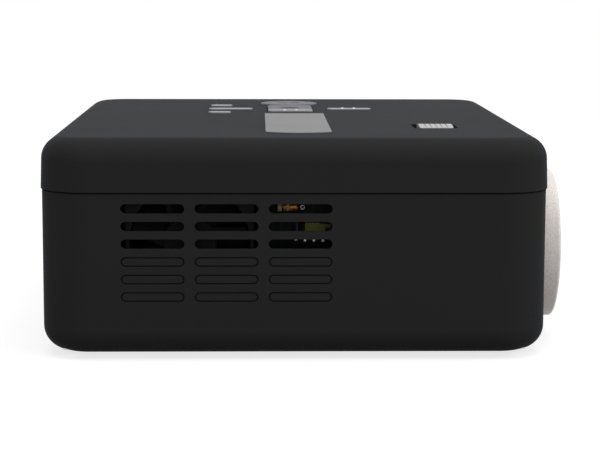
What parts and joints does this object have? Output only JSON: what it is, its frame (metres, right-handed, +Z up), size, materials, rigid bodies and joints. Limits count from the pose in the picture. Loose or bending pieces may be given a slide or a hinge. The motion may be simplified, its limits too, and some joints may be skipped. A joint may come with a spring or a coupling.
{
  "type": "projector with disc player",
  "caption": "Box-shaped table-top projector with a round lens ring at the front, an air inlet grille, keys on top and a motorised disc tray in its rear wall.",
  "frame": {"origin": "on the table, under the middle of the whole object's box", "axes": "+X towards the lens side, -Y towards the air inlet side, +Z up"},
  "size_m": [0.2094, 0.241, 0.0882],
  "materials": {
    "casing_black": "soft-touch matte black",
    "satin_silver": "satin silver",
    "badge_silver": "brushed grey silver",
    "key_grey": "silver-grey satin plastic",
    "rubber": "matte",
    "steel": "bright",
    "brass": "plain",
    "optical_glass": "coated",
    "inner_black": "matte",
    "board_green": "solder mask",
    "components": "mixed components",
    "heat_aluminium": "extruded",
    "loader_grey": "matte",
    "gear_white": "acetal"
  },
  "bodies": {
    "casing": {"lower_shell": "casing_black", "upper_shell": "casing_black", "rubber_feet": "rubber", "case_screws": "steel", "nameplate": "badge_silver", "tripod_insert": "brass", "lens_ring": "satin_silver", "lens_sleeve": "inner_black", "optics_housing": "inner_black", "optics_cover": "inner_black", "condenser_lens": "optical_glass", "fresnel_lenses": "optical_glass", "lcd_panel": "inner_black", "led_module": "heat_aluminium", "heat_sink": "heat_aluminium", "fan_frame": "inner_black", "main_board": "board_green", "main_board_parts": "components", "power_board": "board_green", "power_board_parts": "components", "driver_board": "board_green", "driver_board_parts": "components", "hdmi_socket": "steel", "usb_socket": "steel", "av_jack": "inner_black", "ac_inlet": "inner_black", "speaker": "inner_black", "loader_chassis": "loader_grey", "loader_screws": "steel", "loader_motor": "steel", "drive_belt": "rubber", "clamp_bridge": "loader_grey", "key_board": "board_green"},
    "lens_barrel": {"lens_barrel": "inner_black", "projection_lenses": "optical_glass", "focus_lever": "satin_silver"},
    "fan_rotor": {"fan_rotor": "inner_black"},
    "tray": {"disc_tray": "inner_black", "tray_bezel": "casing_black"},
    "drive_gear": {"drive_gear": "gear_white"},
    "pulley_gear": {"pulley_gear": "gear_white"},
    "motor_pulley": {"motor_pulley": "gear_white"},
    "deck": {"deck_frame": "loader_grey", "guide_rods": "steel", "spindle_motor": "steel", "sled_motor": "steel"},
    "turntable": {"turntable": "inner_black"},
    "pickup": {"optical_pickup": "inner_black", "pickup_lens": "optical_glass"},
    "lead_screw": {"lead_screw": "steel"},
    "clamp_puck": {"clamp_puck": "gear_white"},
    "power_key": {"power_key": "key_grey"},
    "up_key": {"up_key": "key_grey"},
    "ok_key": {"ok_key": "key_grey"},
    "down_key": {"down_key": "key_grey"},
    "left_key": {"left_key": "key_grey"},
    "right_key": {"right_key": "key_grey"},
    "menu_key": {"menu_key": "key_grey"},
    "source_key": {"source_key": "key_grey"}
  },
  "joints": [
    {"name": "focus_slide", "type": "slide", "parent": "casing", "child": "lens_barrel", "axis": [1, 0, 0], "range_m": [-0.0021, 0.0015]},
    {"name": "fan_spin", "type": "hinge", "parent": "casing", "child": "fan_rotor", "pos_m": [-0.04537, -0.1097, 0.046], "axis": [0, 1, 0], "continuous": true},
    {"name": "tray_slide", "type": "slide", "parent": "casing", "child": "tray", "axis": [-1, 0, 0], "range_m": [0, 0.128]},
    {"name": "drive_gear_spin", "type": "hinge", "parent": "casing", "child": "drive_gear", "pos_m": [-0.08225, -0.008, 0.034], "axis": [0, 0, 1], "range_deg": [-918, 1]},
    {"name": "pulley_gear_spin", "type": "hinge", "parent": "casing", "child": "pulley_gear", "pos_m": [-0.08225, 0.013, 0.034], "axis": [0, 0, 1], "range_deg": [-2, 2294]},
    {"name": "motor_pulley_spin", "type": "hinge", "parent": "casing", "child": "motor_pulley", "pos_m": [-0.08225, 0.063, 0.034], "axis": [0, 0, 1], "range_deg": [-5, 6881]},
    {"name": "deck_tilt", "type": "hinge", "parent": "casing", "child": "deck", "pos_m": [0.04975, 0.038, 0.037], "axis": [0, 1, 0], "range_deg": [-3.35, 0]},
    {"name": "disc_spin", "type": "hinge", "parent": "deck", "child": "turntable", "pos_m": [-0.03775, 0.038, 0.048], "axis": [0, 0, 1], "continuous": true},
    {"name": "pickup_slide", "type": "slide", "parent": "deck", "child": "pickup", "axis": [1, 0, 0], "range_m": [0, 0.034]},
    {"name": "lead_screw_spin", "type": "hinge", "parent": "deck", "child": "lead_screw", "pos_m": [-0.02475, 0.0653, 0.042], "axis": [1, 0, 0], "range_deg": [-5, 4086]},
    {"name": "clamp_spin", "type": "hinge", "parent": "casing", "child": "clamp_puck", "pos_m": [-0.03775, 0.038, 0.058], "axis": [0, 0, 1], "continuous": true},
    {"name": "power_key_press", "type": "slide", "parent": "casing", "child": "power_key", "axis": [0, 0, -1], "range_m": [0, 0.0006], "stiffness_N_per_m": 800, "springref_m": -0.0004},
    {"name": "up_key_press", "type": "slide", "parent": "casing", "child": "up_key", "axis": [0, 0, -1], "range_m": [0, 0.0006], "stiffness_N_per_m": 800, "springref_m": -0.0004},
    {"name": "ok_key_press", "type": "slide", "parent": "casing", "child": "ok_key", "axis": [0, 0, -1], "range_m": [0, 0.0006], "stiffness_N_per_m": 800, "springref_m": -0.0004},
    {"name": "down_key_press", "type": "slide", "parent": "casing", "child": "down_key", "axis": [0, 0, -1], "range_m": [0, 0.0006], "stiffness_N_per_m": 800, "springref_m": -0.0004},
    {"name": "left_key_press", "type": "slide", "parent": "casing", "child": "left_key", "axis": [0, 0, -1], "range_m": [0, 0.0006], "stiffness_N_per_m": 800, "springref_m": -0.0004},
    {"name": "right_key_press", "type": "slide", "parent": "casing", "child": "right_key", "axis": [0, 0, -1], "range_m": [0, 0.0006], "stiffness_N_per_m": 800, "springref_m": -0.0004},
    {"name": "menu_key_press", "type": "slide", "parent": "casing", "child": "menu_key", "axis": [0, 0, -1], "range_m": [0, 0.0006], "stiffness_N_per_m": 800, "springref_m": -0.0004},
    {"name": "source_key_press", "type": "slide", "parent": "casing", "child": "source_key", "axis": [0, 0, -1], "range_m": [0, 0.0006], "stiffness_N_per_m": 800, "springref_m": -0.0004}
  ],
  "couplings": [
    {"joint": "drive_gear_spin", "follows": "tray_slide", "rad_per_m": -125},
    {"joint": "pulley_gear_spin", "follows": "tray_slide", "rad_per_m": 312.5},
    {"joint": "motor_pulley_spin", "follows": "tray_slide", "rad_per_m": 937.5},
    {"joint": "lead_screw_spin", "follows": "pickup_slide", "rad_per_m": 2094.4},
    {"joint": "clamp_spin", "follows": "disc_spin", "ratio": 1}
  ]
}
